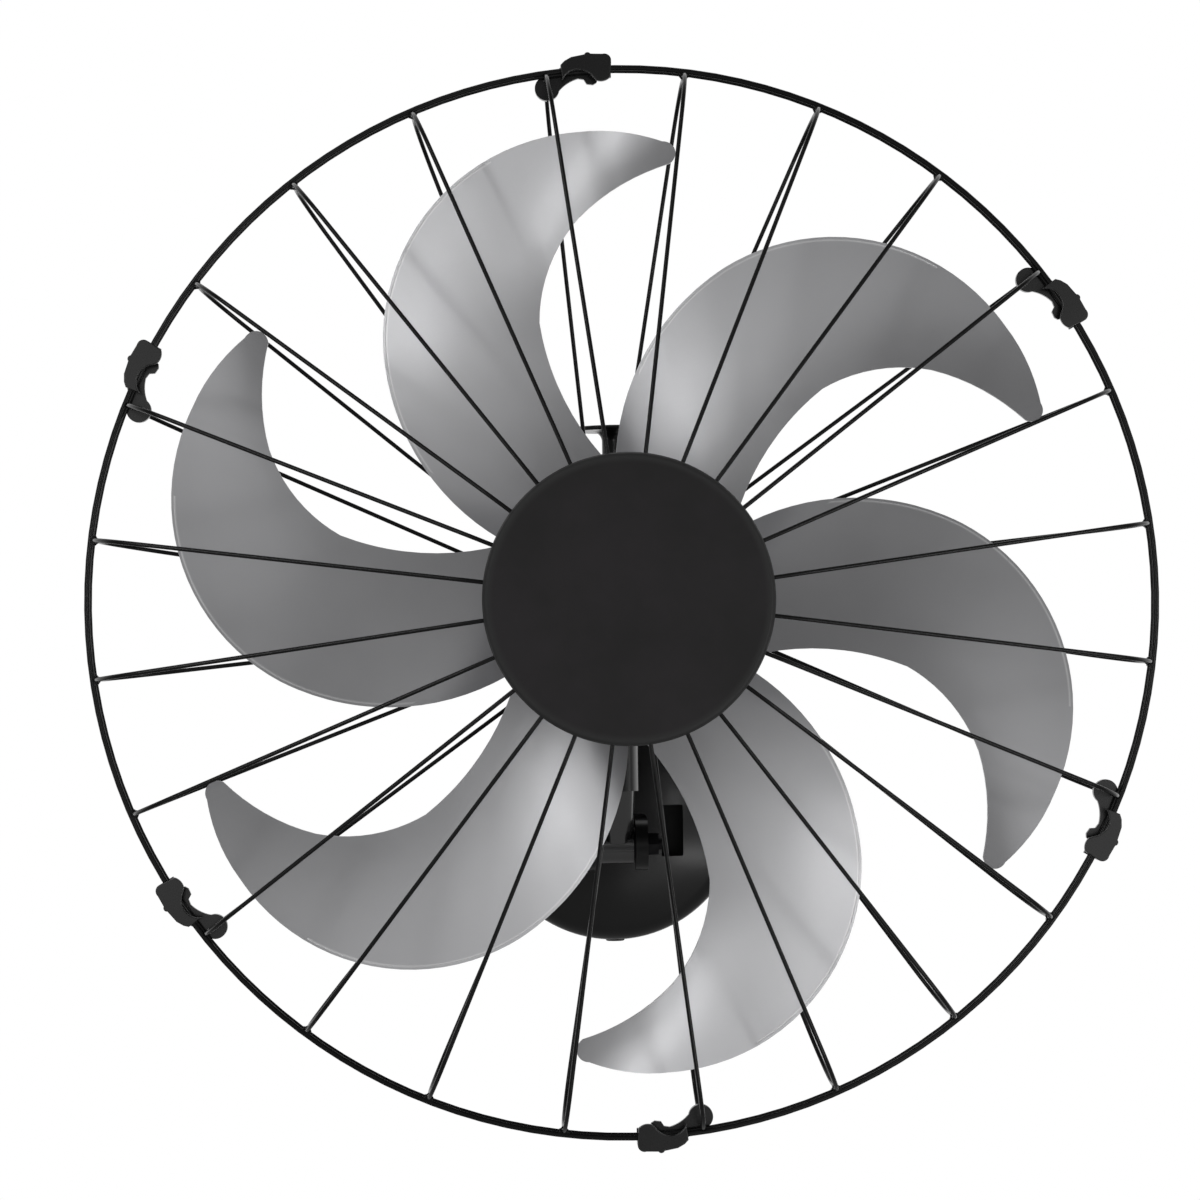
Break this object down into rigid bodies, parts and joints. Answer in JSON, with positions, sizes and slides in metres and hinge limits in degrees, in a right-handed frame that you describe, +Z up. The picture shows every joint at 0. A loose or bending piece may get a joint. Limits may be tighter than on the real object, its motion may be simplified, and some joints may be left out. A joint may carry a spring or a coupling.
{
  "type": "wall fan",
  "caption": "Wall-mounted fan with a sickle-blade impeller in a round wire guard, an oscillating motor head and a tilting neck on a domed wall base.",
  "frame": {"origin": "centre of the wall bracket's four screw holes, on its back face against the wall", "axes": "+Z up, +Y into the wall, so the fan blows along -Y; +X to the right for someone facing the fan"},
  "size_m": [0.6, 0.3436, 0.6134],
  "materials": {
    "black_wire": "gloss black paint over steel wire",
    "black_sheet": "satin black paint over sheet steel",
    "black_plastic": "matte moulded black",
    "black_gloss": "glossy moulded black",
    "silver_plastic": "satin silver-grey moulding",
    "dark_plastic": "moulded dark grey",
    "steel": "zinc-plated steel",
    "cast_alloy": "as die-cast",
    "core_steel": "varnished steel sheets",
    "copper": "enamelled copper wire",
    "bronze": "oil-filled sintered bronze",
    "rubber": "soft black rubber"
  },
  "bodies": {
    "wall_base": {"wall_bracket": "black_sheet", "canopy": "black_gloss", "canopy_screws": "steel", "cable_grommet": "rubber", "tilt_bolt": "steel", "tilt_nut": "steel", "tilt_washers": "dark_plastic"},
    "neck": {"neck_arm": "black_plastic", "pivot_washer": "dark_plastic", "pivot_set_screw": "steel"},
    "head": {"pivot_post": "steel", "motor_rear_bell": "cast_alloy", "motor_front_bell": "cast_alloy", "stator_core": "core_steel", "stator_windings": "copper", "front_bearing": "bronze", "rear_bearing": "bronze", "tie_screws": "steel", "gearbox_case": "cast_alloy", "gearbox_lid": "cast_alloy", "gearbox_screws": "steel", "run_capacitor": "dark_plastic", "motor_cover": "black_plastic", "cover_screws": "steel", "rear_guard_plate": "black_sheet", "rear_guard_ring": "black_wire", "rear_guard_spokes": "black_wire", "guard_screws": "steel", "front_guard_ring": "black_wire", "front_guard_spokes": "black_wire", "front_guard_hub_ring": "black_wire", "centre_badge": "black_plastic"},
    "rotor": {"rotor_core": "core_steel", "motor_shaft": "steel", "drive_pin": "steel", "impeller": "silver_plastic", "impeller_nut": "dark_plastic"},
    "oscillation_knob": {"oscillation_knob": "black_plastic"},
    "guard_clip_1": {"guard_clip_1": "black_plastic"},
    "guard_clip_2": {"guard_clip_2": "black_plastic"},
    "guard_clip_3": {"guard_clip_3": "black_plastic"},
    "guard_clip_4": {"guard_clip_4": "black_plastic"},
    "guard_clip_5": {"guard_clip_5": "black_plastic"},
    "guard_clip_6": {"guard_clip_6": "black_plastic"}
  },
  "joints": [
    {"name": "head_tilt", "type": "hinge", "parent": "wall_base", "child": "neck", "pos_m": [0, -0.08, -0.0183], "axis": [1, 0, 0], "range_deg": [-10, 30]},
    {"name": "head_swing", "type": "hinge", "parent": "neck", "child": "head", "pos_m": [0, -0.122, 0.05], "axis": [0, 0, 1], "range_deg": [-45, 45]},
    {"name": "impeller_spin", "type": "hinge", "parent": "head", "child": "rotor", "pos_m": [0, -0.25, 0.127], "axis": [0, -1, 0], "continuous": true},
    {"name": "knob_push", "type": "slide", "parent": "head", "child": "oscillation_knob", "axis": [0, 0, 1], "range_m": [-0.008, 0]},
    {"name": "clip_1_swing", "type": "hinge", "parent": "head", "child": "guard_clip_1", "pos_m": [-0.03848, -0.2574, 0.41926], "axis": [0, -1, 0], "range_deg": [0, 70]},
    {"name": "clip_2_swing", "type": "hinge", "parent": "head", "child": "guard_clip_2", "pos_m": [0.23386, -0.2574, 0.30645], "axis": [0, -1, 0], "range_deg": [0, 70]},
    {"name": "clip_3_swing", "type": "hinge", "parent": "head", "child": "guard_clip_3", "pos_m": [0.27234, -0.2574, 0.01419], "axis": [0, -1, 0], "range_deg": [0, 70]},
    {"name": "clip_4_swing", "type": "hinge", "parent": "head", "child": "guard_clip_4", "pos_m": [0.03848, -0.2574, -0.16526], "axis": [0, -1, 0], "range_deg": [0, 70]},
    {"name": "clip_5_swing", "type": "hinge", "parent": "head", "child": "guard_clip_5", "pos_m": [-0.23386, -0.2574, -0.05245], "axis": [0, -1, 0], "range_deg": [0, 70]},
    {"name": "clip_6_swing", "type": "hinge", "parent": "head", "child": "guard_clip_6", "pos_m": [-0.27234, -0.2574, 0.23981], "axis": [0, -1, 0], "range_deg": [0, 70]}
  ]
}
